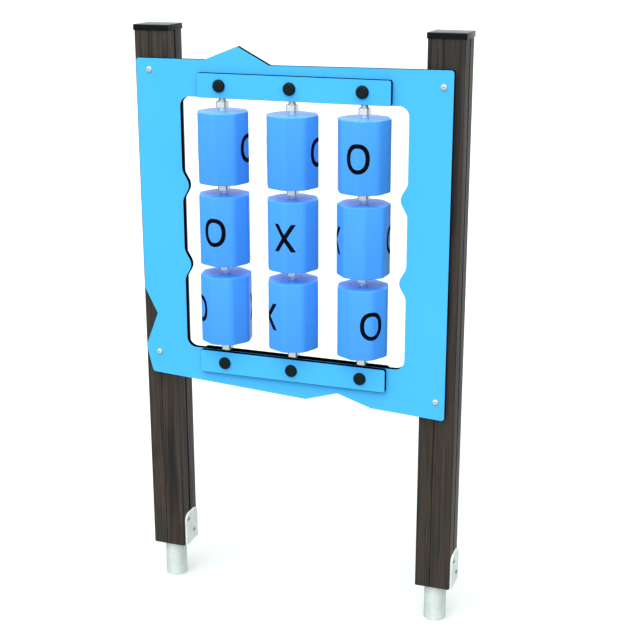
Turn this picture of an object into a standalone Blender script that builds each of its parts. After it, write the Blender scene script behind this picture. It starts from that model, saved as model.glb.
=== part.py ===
"""Playground tic tac toe panel: two posts, a cut-out panel and nine turning rollers."""
import math

import bmesh
import bpy
from mathutils import Vector

# Driving dimensions, in metres. Heights marked "above the post's foot" start at the
# underside of the wooden post. +X is the viewer's right, -Y is the playing side.
GAP = 0.0003                # between pieces that touch
RUNNING_CLEARANCE = 0.0001  # roller bore on its shaft, on the radius

POST_WIDTH = 0.095
POST_DEPTH = 0.087
POST_SPACING = 0.786        # centre to centre
POST_EDGE = 0.003
GROOVE_WIDTH = 0.009
GROOVE_DEPTH = 0.004
CAP_LEVEL = 1.465           # underside of the cap's skirt, above the post's foot
CAP_HEIGHT = 0.0148
CAP_OVERHANG = 0.0024
CAP_TOP_WALL = 0.0035
CAP_EDGE = 0.002

FOOT_DROP = 0.107           # how far the steel tube shows below the post
TUBE_DIAMETER = 0.0605
TUBE_WALL = 0.003
TUBE_SOCKET = 0.095         # how far the tube goes up into the post
TUBE_EDGE = 0.0008
PLATE_WIDTH = 0.074
PLATE_HEIGHT = 0.096
PLATE_THICKNESS = 0.006
PLATE_CORNER = 0.020
PLATE_LOW_CORNER = 0.002
PLATE_CHAMFER = 0.0008
SCREW_SPOTS = ((-0.025, 0.081), (0.010, 0.033))  # (along Y, above the post's foot)
SCREW_SHANK = 0.006
SCREW_HEAD = 0.0125
SCREW_HEAD_HEIGHT = 0.0035
SCREW_TO_TUBE = 0.0055      # screw's tip to the foot tube inside the post

ROLLER_APOTHEM = 0.0650     # centre to the middle of one of the eight flats
ROLLER_CORNER = 0.024
ROLLER_HEIGHT = 0.184
ROLLER_RIM = 0.003
ROLLER_WALL = 0.005
ROW_GAP = 0.031             # between two rollers on one shaft
COLUMN_PITCH = 0.1915
SHAFT_DIAMETER = 0.018
NUT_WALL = 0.0043           # shaft to the nut's flats
NUT_CORNER = 0.0035         # how much of each upright corner is cut off
NUT_HUB_WALL = 0.002
NUT_HEIGHT = 0.017
NUT_EDGE = 0.0008
NUT_HUB_RISE = 0.002        # hub above the highest nut
SILL_TO_NUT = 0.003
SILL_TO_HUB = 0.001

# Where each roller stands turned to: the O mark's bearing from -Y, in degrees.
REST_TURNS = {
    "top_left": 93.0, "top_middle": 92.0, "top_right": 3.0,
    "middle_left": -2.0, "middle_middle": 181.0, "middle_right": 108.0,
    "bottom_left": -56.0, "bottom_middle": 132.0, "bottom_right": 38.0,
}

PANEL_THICKNESS = 0.015
PANEL_CHAMFER = 0.0008
PANEL_BELOW_CAP = 0.069     # the cap's underside to the panel's upper edge, left end
ROLLER_TO_SILL = 0.033      # lowest roller to the window's lower edge
ROLLER_TO_HEAD = 0.034      # highest roller to the window's upper edge
ROLLER_TO_SIDE = 0.046
WINDOW_CORNER = 0.026
BUMP_HEIGHT = 0.018         # wavy bulges on the window's sides, level with the row gaps
BUMP_HALF_WIDTH = 0.046
PANEL_TOP_MARGIN = 0.094    # panel above the window, left end
PANEL_TOP_FALL = 0.003      # how much lower the right end is
PANEL_LEFT_MARGIN = 0.0845  # panel below the window, left end
PANEL_RIGHT_MARGIN = 0.127  # the same, right end
PANEL_LEFT_REACH = 0.037    # beyond the left post's centre
PANEL_RIGHT_REACH = 0.0245  # beyond the right post's centre
PANEL_CORNER = 0.008
PANEL_UPPER_RIGHT_CORNER = 0.007
TIP_CORNER = 0.003
BEND_CORNER = 0.004
# The panel's peak and notches: (from the left end, above the straight edge there).
PEAK = ((0.1932, 0.001), (0.2848, 0.037), (0.3712, -0.008))
LOWER_NOTCH = ((0.6483, 0.0008), (0.5551, 0.0265), (0.4653, -0.0053))
LOWER_EDGE_START = 0.0153   # the lower edge's left corner, from the left end
# The notch at the left: (from the left end, above the lower edge's left corner).
SIDE_NOTCH = ((-0.003, 0.074), (0.0347, 0.170), (0.0, 0.239))

BAR_THICKNESS = 0.013
BAR_HEIGHT = 0.063
BAR_CORNER = 0.006
BAR_CHAMFER = 0.0008
BAR_TO_WINDOW = 0.0003
UPPER_BAR_ENDS = (0.0625, 0.0735)  # past the outer shafts, left and right
LOWER_BAR_ENDS = (0.0725, 0.0685)

BOLT_DIAMETER = 0.008
BOLT_HEAD = 0.016
BOLT_HEAD_HEIGHT = 0.005
BOLT_PAST_SHAFT = 0.012     # shaft end beyond its bolt
COVER_DIAMETER = 0.033
COVER_HEIGHT = 0.009
COVER_WALL = 0.0025
CORNER_BOLT_HEAD = 0.0155
CORNER_BOLT_LENGTH = 0.050
CORNER_BOLT_DROPS = (0.029, 0.041)  # upper pair, below the panel's top edge: left, right
CORNER_BOLT_RISES = (0.060, 0.050)  # lower pair, above the panel's lower edge: left, right

# Places worked out from the sizes above.
POST_FOOT = FOOT_DROP
PANEL_BACK = -POST_DEPTH / 2 - GAP
PANEL_FRONT = PANEL_BACK - PANEL_THICKNESS
PANEL_MIDDLE = (PANEL_BACK + PANEL_FRONT) / 2
BAR_FRONT_FACE = PANEL_FRONT - GAP - BAR_THICKNESS
BACK_BAR_FACE = PANEL_BACK + GAP + BAR_THICKNESS
PANEL_TOP_LEFT = POST_FOOT + CAP_LEVEL - PANEL_BELOW_CAP
WINDOW_HIGH = PANEL_TOP_LEFT - PANEL_TOP_MARGIN
ROLLER_STACK = 3 * ROLLER_HEIGHT + 2 * ROW_GAP
WINDOW_LOW = WINDOW_HIGH - ROLLER_TO_HEAD - ROLLER_STACK - ROLLER_TO_SILL
ROLLER_RADIUS = ROLLER_APOTHEM / math.cos(math.pi / 8)
WINDOW_HALF = COLUMN_PITCH + ROLLER_RADIUS + ROLLER_TO_SIDE
ROW_PITCH = ROLLER_HEIGHT + ROW_GAP
BOTTOM_ROW = WINDOW_LOW + ROLLER_TO_SILL + ROLLER_HEIGHT / 2
ROW_HEIGHTS = {
    "top": BOTTOM_ROW + 2 * ROW_PITCH, "middle": BOTTOM_ROW + ROW_PITCH, "bottom": BOTTOM_ROW,
}
COLUMN_PLACES = {"left": -COLUMN_PITCH, "middle": 0.0, "right": COLUMN_PITCH}
UPPER_BAR_MIDDLE = WINDOW_HIGH + BAR_TO_WINDOW + BAR_HEIGHT / 2
LOWER_BAR_MIDDLE = WINDOW_LOW - BAR_TO_WINDOW - BAR_HEIGHT / 2
SLOT_DEPTH = BAR_TO_WINDOW + BAR_HEIGHT / 2 + BOLT_PAST_SHAFT + GAP
SLOT_HALF = SHAFT_DIAMETER / 2 + GAP
NUT_FLATS = SHAFT_DIAMETER + 2 * NUT_WALL
NUT_HUB = SHAFT_DIAMETER + 2 * NUT_HUB_WALL
BOLT_HOLE = BOLT_DIAMETER + 2 * GAP
POST_TOP = POST_FOOT + CAP_LEVEL + CAP_HEIGHT - CAP_TOP_WALL - GAP
POST_SIDES = {"left": -POST_SPACING / 2, "right": POST_SPACING / 2}
PLATE_OUTER = POST_WIDTH / 2 + GAP + PLATE_THICKNESS
SCREW_LENGTH = PLATE_OUTER + GAP - TUBE_DIAMETER / 2 - SCREW_TO_TUBE
PANEL_LOW_LEFT = WINDOW_LOW - PANEL_LEFT_MARGIN
PANEL_LOW_RIGHT = WINDOW_LOW - PANEL_RIGHT_MARGIN

OBJECT_NAME = "tic_tac_toe_set"
ROLLER_CORNER_POINTS = 5
ROUND_STEPS = 24
ROLLER_POINTS = 8 * ROLLER_CORNER_POINTS


def soft_octagon(apothem, corner):
    """Eight-sided outline with rounded corners; one corner points to -Y."""
    centre_radius = (apothem - corner) / math.cos(math.pi / 8)
    points = []
    for side in range(8):
        middle = -math.pi / 2 + side * math.pi / 4
        centre = Vector((math.cos(middle), math.sin(middle))) * centre_radius
        for step in range(ROLLER_CORNER_POINTS):
            part = step / (ROLLER_CORNER_POINTS - 1) - 0.5
            angle = middle + part * math.pi / 4
            points.append(centre + Vector((math.cos(angle), math.sin(angle))) * corner)
    return points


def roller_reach():
    """Nearest and farthest Y over all rollers at rest, from the panel's mid-plane."""
    outline = soft_octagon(ROLLER_APOTHEM, ROLLER_CORNER)
    values = []
    for degrees in REST_TURNS.values():
        turn = math.radians(degrees)
        for point in outline:
            values.append(point.x * math.sin(turn) + point.y * math.cos(turn))
    return min(values), max(values)


# The whole object is shifted so that the origin is under the middle of its outer size.
LEFT_LIMIT = POST_SIDES["left"] - POST_WIDTH / 2 - CAP_OVERHANG
RIGHT_LIMIT = POST_SIDES["right"] + PLATE_OUTER + GAP + SCREW_HEAD_HEIGHT
FRONT_LIMIT = min(PANEL_MIDDLE + roller_reach()[0], BAR_FRONT_FACE - GAP - COVER_HEIGHT)
BACK_LIMIT = max(POST_DEPTH / 2 + CAP_OVERHANG, PANEL_MIDDLE + roller_reach()[1])
CENTRE_X = (LEFT_LIMIT + RIGHT_LIMIT) / 2
CENTRE_Y = (FRONT_LIMIT + BACK_LIMIT) / 2

for old in list(bpy.data.objects):
    bpy.data.objects.remove(old, do_unlink=True)

SCENE = bpy.context.scene
PARTS = bpy.data.collections.new(OBJECT_NAME)
CUTTERS = bpy.data.collections.new("cutters")
SCENE.collection.children.link(PARTS)
SCENE.collection.children.link(CUTTERS)


def make_material(name, colour, roughness, metallic=0.0):
    material = bpy.data.materials.new(name)
    material.use_nodes = True
    shader = material.node_tree.nodes["Principled BSDF"]
    shader.inputs["Base Color"].default_value = (*colour, 1.0)
    shader.inputs["Roughness"].default_value = roughness
    shader.inputs["Metallic"].default_value = metallic
    material.diffuse_color = (*colour, 1.0)
    return material


TIMBER = make_material("timber", (0.060, 0.045, 0.034), 0.6)
BLACK_PLASTIC = make_material("black_plastic", (0.012, 0.013, 0.014), 0.4)
STEEL = make_material("steel", (0.60, 0.66, 0.64), 0.35, 1.0)
PANEL_BLUE = make_material("panel_blue", (0.10, 0.62, 1.0), 0.5)
ROLLER_BLUE = make_material("roller_blue", (0.09, 0.42, 1.0), 0.3)


def place(thing, location, turn=(0.0, 0.0, 0.0)):
    """Puts an object at a place given in the posts' frame."""
    thing.location = (location[0] - CENTRE_X, location[1] - CENTRE_Y, location[2])
    thing.rotation_euler = turn
    return thing


def finish_mesh(name, shape, material=None):
    """Turns a bmesh into an object: a part when it has a material, else a cutter."""
    bmesh.ops.recalc_face_normals(shape, faces=shape.faces[:])
    mesh = bpy.data.meshes.new(name)
    shape.to_mesh(mesh)
    shape.free()
    thing = bpy.data.objects.new(name, mesh)
    if material is None:
        CUTTERS.objects.link(thing)
        thing.hide_render = True
        thing.display_type = "WIRE"
    else:
        mesh.materials.append(material)
        PARTS.objects.link(thing)
    return thing


def block(name, size, material=None):
    shape = bmesh.new()
    bmesh.ops.create_cube(shape, size=1.0)
    bmesh.ops.scale(shape, vec=size, verts=shape.verts[:])
    return finish_mesh(name, shape, material)


def rod(name, radius, length, material=None, steps=ROUND_STEPS):
    """Plain cylinder along its own Z, centred."""
    shape = bmesh.new()
    bmesh.ops.create_cone(
        shape, cap_ends=True, segments=steps, radius1=radius, radius2=radius, depth=length
    )
    return finish_mesh(name, shape, material)


def turned(name, profile, material=None, steps=ROUND_STEPS, closed=False):
    """Revolves (radius, height) points about Z."""
    shape = bmesh.new()
    verts = [shape.verts.new((radius, 0.0, height)) for radius, height in profile]
    pairs = list(zip(verts, verts[1:]))
    if closed:
        pairs.append((verts[-1], verts[0]))
    edges = [shape.edges.new(pair) for pair in pairs]
    bmesh.ops.spin(
        shape, geom=verts + edges, axis=(0.0, 0.0, 1.0), cent=(0.0, 0.0, 0.0),
        angle=2.0 * math.pi, steps=steps, use_merge=True,
    )
    bmesh.ops.remove_doubles(shape, verts=shape.verts[:], dist=0.000001)
    bmesh.ops.dissolve_degenerate(shape, edges=shape.edges[:], dist=0.000001)
    return finish_mesh(name, shape, material)


def loft(name, rings, material, closed):
    """Skins a list of equal rings of 3-D points."""
    shape = bmesh.new()
    loops = [[shape.verts.new(point) for point in ring] for ring in rings]
    count = len(rings[0])
    spans = list(zip(loops, loops[1:]))
    if closed:
        spans.append((loops[-1], loops[0]))
    for lower, upper in spans:
        for index in range(count):
            following = (index + 1) % count
            shape.faces.new((lower[index], lower[following], upper[following], upper[index]))
    return finish_mesh(name, shape, material)


def cut(thing, cutter, operation="DIFFERENCE"):
    modifier = thing.modifiers.new(operation.lower() + "_" + cutter.name, "BOOLEAN")
    modifier.operation = operation
    modifier.solver = "EXACT"
    modifier.object = cutter


def soften(thing, width, segments=2):
    modifier = thing.modifiers.new("edges", "BEVEL")
    modifier.width = width
    modifier.segments = segments
    modifier.limit_method = "ANGLE"
    modifier.angle_limit = math.radians(40.0)


def arc(centre, radius, start, end, steps):
    points = []
    for step in range(steps + 1):
        angle = math.radians(start + (end - start) * step / steps)
        points.append((centre[0] + radius * math.cos(angle), centre[1] + radius * math.sin(angle)))
    return points


def circle(centre, radius, steps=ROUND_STEPS):
    return arc(centre, radius, 0.0, 360.0 - 360.0 / steps, steps - 1)


def rounded_outline(corners, steps=4):
    """Rounds each (x, z, radius) corner of a closed outline."""
    points = []
    count = len(corners)
    for index in range(count):
        here = Vector(corners[index][:2])
        before = (Vector(corners[index - 1][:2]) - here).normalized()
        after = (Vector(corners[(index + 1) % count][:2]) - here).normalized()
        half = before.angle(after) / 2.0
        reach = corners[index][2] / math.tan(half)
        start = here + before * reach
        end = here + after * reach
        middle = here + (before + after).normalized() * (corners[index][2] / math.sin(half))
        first = math.atan2(start.y - middle.y, start.x - middle.x)
        sweep = math.atan2(end.y - middle.y, end.x - middle.x) - first
        sweep = (sweep + math.pi) % (2.0 * math.pi) - math.pi
        for step in range(steps + 1):
            angle = first + sweep * step / steps
            points.append((
                middle.x + corners[index][2] * math.cos(angle),
                middle.y + corners[index][2] * math.sin(angle),
            ))
    return points


def sheet(name, outlines, holes, thickness, chamfer, material):
    """Flat sheet standing in XZ, with chamfered outlines and plain (centre, radius) holes."""
    curve = bpy.data.curves.new(name, "CURVE")
    curve.dimensions = "2D"
    curve.fill_mode = "BOTH"
    curve.extrude = thickness / 2.0
    for outline in outlines + [circle(centre, radius, 16) for centre, radius in holes]:
        spline = curve.splines.new("POLY")
        spline.points.add(len(outline) - 1)
        for point, (x, z) in zip(spline.points, outline):
            point.co = (x, z, 0.0, 1.0)
        spline.use_cyclic_u = True
    source = bpy.data.objects.new(name + "_curve", curve)
    SCENE.collection.objects.link(source)
    bpy.context.view_layer.update()
    evaluated = source.evaluated_get(bpy.context.evaluated_depsgraph_get())
    mesh = bpy.data.meshes.new_from_object(evaluated)
    bpy.data.objects.remove(source, do_unlink=True)
    shape = bmesh.new()
    shape.from_mesh(mesh)
    bpy.data.meshes.remove(mesh)
    bmesh.ops.remove_doubles(shape, verts=shape.verts[:], dist=0.00001)
    for vert in shape.verts:
        vert.co = Vector((vert.co.x, -vert.co.z, vert.co.y))
    bmesh.ops.recalc_face_normals(shape, faces=shape.faces[:])
    bmesh.ops.dissolve_limit(
        shape, angle_limit=math.radians(0.5), verts=shape.verts[:], edges=shape.edges[:]
    )
    mark_rims(shape, holes)
    thing = finish_mesh(name, shape, material)
    modifier = thing.modifiers.new("edges", "BEVEL")
    modifier.width = chamfer
    modifier.segments = 1
    modifier.limit_method = "WEIGHT"
    return thing


def on_hole(edge, holes):
    middle = (edge.verts[0].co + edge.verts[1].co) / 2.0
    for centre, radius in holes:
        if math.hypot(middle.x - centre[0], middle.z - centre[1]) < radius * 1.05:
            return True
    return False


def mark_rims(shape, holes):
    """Gives full bevel weight to the edges between a flat side and the sheet's outline."""
    weights = shape.edges.layers.float.new("bevel_weight_edge")
    for edge in shape.edges:
        flat = [abs(face.normal.y) > 0.9 for face in edge.link_faces]
        is_rim = len(flat) == 2 and flat[0] != flat[1] and not on_hole(edge, holes)
        edge[weights] = 1.0 if is_rim else 0.0


# Posts, caps and feet

def build_post(side):
    centre = POST_SIDES[side]
    height = POST_TOP - POST_FOOT
    post = block("post_" + side, (POST_WIDTH, POST_DEPTH, height), TIMBER)
    place(post, (centre, 0.0, POST_FOOT + height / 2))
    soften(post, POST_EDGE)
    for face, name in ((1, "right"), (-1, "left")):
        groove = block(
            "groove_%s_%s" % (side, name), (GROOVE_DEPTH * 2, GROOVE_WIDTH, height * 1.2)
        )
        place(groove, (centre + face * POST_WIDTH / 2, 0.0, POST_FOOT + height / 2))
        cut(post, groove)
    socket = rod("socket_" + side, TUBE_DIAMETER / 2 + GAP, TUBE_SOCKET * 2, steps=40)
    place(socket, (centre, 0.0, POST_FOOT))
    cut(post, socket)
    for number, (along, up) in enumerate(SCREW_SPOTS):
        hole = rod("plate_hole_%s_%d" % (side, number), SCREW_SHANK / 2 + GAP, SCREW_LENGTH * 2)
        place(hole, (centre + POST_WIDTH / 2, along, POST_FOOT + up), (0.0, math.pi / 2, 0.0))
        cut(post, hole)
    for level, height_here in corner_bolt_heights(side).items():
        hole = rod(
            "bolt_hole_%s_%s" % (level, side), BOLT_HOLE / 2, CORNER_BOLT_LENGTH * 2, steps=16
        )
        place(hole, (centre, PANEL_FRONT, height_here), (math.pi / 2, 0.0, 0.0))
        cut(post, hole)


def build_cap(side):
    size = (POST_WIDTH + 2 * CAP_OVERHANG, POST_DEPTH + 2 * CAP_OVERHANG, CAP_HEIGHT)
    low = POST_FOOT + CAP_LEVEL
    cap = block("cap_" + side, size, BLACK_PLASTIC)
    place(cap, (POST_SIDES[side], 0.0, low + CAP_HEIGHT / 2))
    soften(cap, CAP_EDGE)
    pocket_height = CAP_HEIGHT - CAP_TOP_WALL
    pocket = block(
        "cap_pocket_" + side,
        (POST_WIDTH + 2 * GAP, POST_DEPTH + 2 * GAP, pocket_height * 2),
    )
    place(pocket, (POST_SIDES[side], 0.0, low))
    cut(cap, pocket)


def build_foot_tube(side):
    outer = TUBE_DIAMETER / 2
    inner = outer - TUBE_WALL
    length = FOOT_DROP + TUBE_SOCKET - GAP
    profile = (
        (inner, 0.0), (outer - TUBE_EDGE, 0.0), (outer, TUBE_EDGE), (outer, length), (inner, length),
    )
    tube = turned("foot_tube_" + side, profile, STEEL, steps=40, closed=True)
    place(tube, (POST_SIDES[side], 0.0, 0.0))


def build_foot_plate(side):
    half = PLATE_WIDTH / 2
    low = GAP
    high = low + PLATE_HEIGHT
    corners = (
        (-half, low, PLATE_LOW_CORNER), (half, low, PLATE_LOW_CORNER),
        (half, high, PLATE_CORNER), (-half, high, PLATE_CORNER),
    )
    outlines = [rounded_outline(corners)]
    holes = [(spot, SCREW_SHANK / 2 + GAP) for spot in SCREW_SPOTS]
    plate = sheet(
        "foot_plate_" + side, outlines, holes, PLATE_THICKNESS, PLATE_CHAMFER, STEEL
    )
    across = POST_SIDES[side] + POST_WIDTH / 2 + GAP + PLATE_THICKNESS / 2
    place(plate, (across, 0.0, POST_FOOT), (0.0, 0.0, math.pi / 2))


def build_plate_screws(side):
    face = POST_SIDES[side] + PLATE_OUTER + GAP
    head = SCREW_HEAD / 2
    shank = SCREW_SHANK / 2
    for number, (along, up) in enumerate(SCREW_SPOTS):
        profile = (
            (0.0, -SCREW_LENGTH), (shank, -SCREW_LENGTH), (shank, 0.0), (head, 0.0),
            (head, SCREW_HEAD_HEIGHT * 0.35), (head * 0.75, SCREW_HEAD_HEIGHT * 0.85),
            (head * 0.4, SCREW_HEAD_HEIGHT), (0.0, SCREW_HEAD_HEIGHT),
        )
        name = "plate_screw_%s_%s" % (side, ("upper", "lower")[number])
        screw = turned(name, profile, STEEL, steps=16)
        place(screw, (face, along, POST_FOOT + up), (0.0, math.pi / 2, 0.0))


# Panel

def corner_bolt_heights(side):
    right = side == "right"
    top = PANEL_TOP_LEFT - (PANEL_TOP_FALL if right else 0.0)
    low = PANEL_LOW_RIGHT if right else PANEL_LOW_LEFT
    return {"upper": top - CORNER_BOLT_DROPS[right], "lower": low + CORNER_BOLT_RISES[right]}


def panel_edge():
    """Outer outline with its one peak, the notch in the lower edge and the one at the left."""
    left = POST_SIDES["left"] - PANEL_LEFT_REACH
    right = POST_SIDES["right"] + PANEL_RIGHT_REACH
    start = left + LOWER_EDGE_START
    slope = (PANEL_LOW_RIGHT - PANEL_LOW_LEFT) / (right - start)
    bends = (BEND_CORNER, TIP_CORNER, BEND_CORNER)
    corners = [(left, PANEL_TOP_LEFT, PANEL_CORNER)]
    for (along, rise), corner in zip(PEAK, bends):
        corners.append((left + along, PANEL_TOP_LEFT + rise, corner))
    corners.append((right, PANEL_TOP_LEFT - PANEL_TOP_FALL, PANEL_UPPER_RIGHT_CORNER))
    corners.append((right, PANEL_LOW_RIGHT, PANEL_CORNER))
    for (along, rise), corner in zip(LOWER_NOTCH, bends):
        edge = PANEL_LOW_LEFT + slope * (left + along - start)
        corners.append((left + along, edge + rise, corner))
    corners.append((start, PANEL_LOW_LEFT, PANEL_CORNER))
    for (along, rise), corner in zip(SIDE_NOTCH, bends):
        corners.append((left + along, PANEL_LOW_LEFT + rise, corner))
    return corners


def window_side(sign):
    """One wavy side of the window, from the lower corner to the upper one."""
    points = []
    for row in (0, 1):
        middle = BOTTOM_ROW + (row + 0.5) * ROW_PITCH
        for step in range(17):
            offset = (step / 8.0 - 1.0) * BUMP_HALF_WIDTH
            swell = BUMP_HEIGHT * 0.5 * (1.0 + math.cos(math.pi * offset / BUMP_HALF_WIDTH))
            points.append((sign * (WINDOW_HALF - swell), middle + offset))
    return points


def shaft_slots(edge, direction):
    """Slots in the window's upper or lower edge that take the shaft ends."""
    points = []
    for place_x in sorted(COLUMN_PLACES.values()):
        end = edge + direction * SLOT_DEPTH
        points.extend((
            (place_x - SLOT_HALF, edge), (place_x - SLOT_HALF, end),
            (place_x + SLOT_HALF, end), (place_x + SLOT_HALF, edge),
        ))
    return points


def window_outline():
    half = WINDOW_HALF - WINDOW_CORNER
    low = WINDOW_LOW + WINDOW_CORNER
    high = WINDOW_HIGH - WINDOW_CORNER
    points = shaft_slots(WINDOW_LOW, -1.0)
    points += arc((half, low), WINDOW_CORNER, -90.0, 0.0, 6)
    points += window_side(1.0)
    points += arc((half, high), WINDOW_CORNER, 0.0, 90.0, 6)
    points += list(reversed(shaft_slots(WINDOW_HIGH, 1.0)))
    points += arc((-half, high), WINDOW_CORNER, 90.0, 180.0, 6)
    points += list(reversed(window_side(-1.0)))
    points += arc((-half, low), WINDOW_CORNER, 180.0, 270.0, 6)
    return points


def build_panel():
    outlines = [rounded_outline(panel_edge()), window_outline()]
    holes = []
    for side, centre in POST_SIDES.items():
        for height in corner_bolt_heights(side).values():
            holes.append(((centre, height), BOLT_HOLE / 2))
    panel = sheet("panel", outlines, holes, PANEL_THICKNESS, PANEL_CHAMFER, PANEL_BLUE)
    place(panel, (0.0, PANEL_MIDDLE, 0.0))


def build_corner_bolts():
    head = CORNER_BOLT_HEAD / 2
    shank = BOLT_DIAMETER / 2
    face = PANEL_FRONT - GAP
    profile = (
        (0.0, -CORNER_BOLT_LENGTH), (shank, -CORNER_BOLT_LENGTH), (shank, 0.0), (head, 0.0),
        (head, 0.001), (head * 0.86, 0.0028), (head * 0.5, 0.0043), (0.0, 0.0048),
    )
    for side, centre in POST_SIDES.items():
        for level, height in corner_bolt_heights(side).items():
            bolt = turned("corner_bolt_%s_%s" % (level, side), profile, STEEL, steps=16)
            place(bolt, (centre, face, height), (math.pi / 2, 0.0, 0.0))


# Bars that hold the shafts

def build_bar(name, ends, middle_height, middle_depth):
    left = -COLUMN_PITCH - ends[0]
    right = COLUMN_PITCH + ends[1]
    low = middle_height - BAR_HEIGHT / 2
    high = middle_height + BAR_HEIGHT / 2
    corners = (
        (left, low, BAR_CORNER), (right, low, BAR_CORNER), (right, high, BAR_CORNER),
        (left, high, BAR_CORNER),
    )
    holes = [((centre, middle_height), BOLT_HOLE / 2) for centre in COLUMN_PLACES.values()]
    bar = sheet(
        name, [rounded_outline(corners)], holes, BAR_THICKNESS, BAR_CHAMFER, PANEL_BLUE
    )
    place(bar, (0.0, middle_depth, 0.0))


def build_bars():
    front = BAR_FRONT_FACE + BAR_THICKNESS / 2
    back = BACK_BAR_FACE - BAR_THICKNESS / 2
    build_bar("bar_front_upper", UPPER_BAR_ENDS, UPPER_BAR_MIDDLE, front)
    build_bar("bar_front_lower", LOWER_BAR_ENDS, LOWER_BAR_MIDDLE, front)
    build_bar("bar_back_upper", UPPER_BAR_ENDS, UPPER_BAR_MIDDLE, back)
    build_bar("bar_back_lower", LOWER_BAR_ENDS, LOWER_BAR_MIDDLE, back)


def build_bar_bolt(name, centre, height):
    """Bolt through bar, shaft end and bar: hidden hexagon at the front, dome at the back."""
    shank = BOLT_DIAMETER / 2
    head = BOLT_HEAD / 2
    length = BACK_BAR_FACE - BAR_FRONT_FACE + 2 * GAP
    dome = BOLT_HEAD_HEIGHT
    profile = (
        (0.0, dome), (head * 0.85, dome), (head, dome * 0.8), (head, 0.0), (shank, 0.0),
        (shank, -length), (head, -length), (head, -length - dome * 0.3),
        (head * 0.8, -length - dome * 0.75), (head * 0.4, -length - dome), (0.0, -length - dome),
    )
    bolt = turned(name, profile, STEEL, steps=16)
    place(bolt, (centre, BAR_FRONT_FACE - GAP, height), (math.pi / 2, 0.0, 0.0))


def build_cover(name, centre, height):
    """Black domed cover over the bolt's front head, hollow from behind."""
    outer = COVER_DIAMETER / 2
    inner = outer - COVER_WALL
    top = COVER_HEIGHT
    roof = top - COVER_WALL
    profile = (
        (outer, 0.0), (outer, top * 0.35), (outer * 0.93, top * 0.68), (outer * 0.76, top * 0.91),
        (outer * 0.5, top), (0.0, top),
    )
    hollow = (
        (0.0, roof), (inner * 0.6, roof), (inner * 0.92, roof * 0.65), (inner, roof * 0.3),
        (inner, 0.0),
    )
    cover = turned(name, profile + hollow, BLACK_PLASTIC, steps=20, closed=True)
    place(cover, (centre, BAR_FRONT_FACE - GAP, height), (math.pi / 2, 0.0, 0.0))


def build_bar_fixings():
    for column, centre in COLUMN_PLACES.items():
        for level, height in (("upper", UPPER_BAR_MIDDLE), ("lower", LOWER_BAR_MIDDLE)):
            build_bar_bolt("bar_bolt_%s_%s" % (level, column), centre, height)
            build_cover("bolt_cover_%s_%s" % (level, column), centre, height)


# Shafts, nuts and rollers

def build_shaft(column):
    centre = COLUMN_PLACES[column]
    low = LOWER_BAR_MIDDLE - BOLT_PAST_SHAFT
    high = UPPER_BAR_MIDDLE + BOLT_PAST_SHAFT
    shaft = rod("shaft_" + column, SHAFT_DIAMETER / 2, high - low, STEEL, steps=40)
    place(shaft, (centre, PANEL_MIDDLE, (low + high) / 2))
    for level, edge, outward in (("upper", WINDOW_HIGH, 1.0), ("lower", WINDOW_LOW, -1.0)):
        for face, sign in (("front", -1.0), ("back", 1.0)):
            flat = block(
                "flat_%s_%s_%s" % (column, level, face),
                (SHAFT_DIAMETER * 2, SHAFT_DIAMETER, SLOT_DEPTH * 2),
            )
            across = PANEL_MIDDLE + sign * (PANEL_THICKNESS / 2 + SHAFT_DIAMETER / 2)
            place(flat, (centre, across, edge + outward * (SLOT_DEPTH - GAP)))
            cut(shaft, flat)
    for level, height in (("upper", UPPER_BAR_MIDDLE), ("lower", LOWER_BAR_MIDDLE)):
        hole = rod("cross_hole_%s_%s" % (column, level), BOLT_HOLE / 2, SHAFT_DIAMETER * 2, steps=16)
        place(hole, (centre, PANEL_MIDDLE, height), (math.pi / 2, 0.0, 0.0))
        cut(shaft, hole)


def build_nut(name, centre, low, high, hub_low, hub_high):
    """Square collar with cut corners, and a round hub that keeps the rollers apart."""
    height = high - low
    shape = bmesh.new()
    bmesh.ops.create_cube(shape, size=1.0)
    bmesh.ops.scale(shape, vec=(NUT_FLATS, NUT_FLATS, height), verts=shape.verts[:])
    upright = [e for e in shape.edges if abs(e.verts[0].co.z - e.verts[1].co.z) > height / 2]
    bmesh.ops.bevel(
        shape, geom=upright, offset=NUT_CORNER, offset_type="OFFSET", segments=1, affect="EDGES"
    )
    nut = finish_mesh(name, shape, STEEL)
    place(nut, (centre, PANEL_MIDDLE, (low + high) / 2))
    soften(nut, NUT_EDGE, 1)
    hub = rod(name + "_hub", NUT_HUB / 2, hub_high - hub_low)
    place(hub, (centre, PANEL_MIDDLE, (hub_low + hub_high) / 2))
    cut(nut, hub, "UNION")
    bore = rod(name + "_bore", SHAFT_DIAMETER / 2 + GAP, (hub_high - hub_low) * 3)
    place(bore, (centre, PANEL_MIDDLE, (low + high) / 2))
    cut(nut, bore)


def build_nuts(column):
    centre = COLUMN_PLACES[column]
    half = ROLLER_HEIGHT / 2
    top = ROW_HEIGHTS["top"] + half
    rise = (ROLLER_TO_HEAD - NUT_HEIGHT) / 2
    low = top + rise
    high = low + NUT_HEIGHT
    build_nut("nut_top_" + column, centre, low, high, top + GAP, high + NUT_HUB_RISE)
    for name, row in (("upper", "middle"), ("lower", "bottom")):
        below = ROW_HEIGHTS[row] + half
        low = below + (ROW_GAP - NUT_HEIGHT) / 2
        build_nut(
            "nut_%s_%s" % (name, column), centre, low, low + NUT_HEIGHT,
            below + GAP, below + ROW_GAP - GAP,
        )
    sill = ROW_HEIGHTS["bottom"] - half - ROLLER_TO_SILL
    low = sill + SILL_TO_NUT
    build_nut(
        "nut_bottom_" + column, centre, low, low + NUT_HEIGHT,
        sill + SILL_TO_HUB, sill + ROLLER_TO_SILL - GAP,
    )


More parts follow.
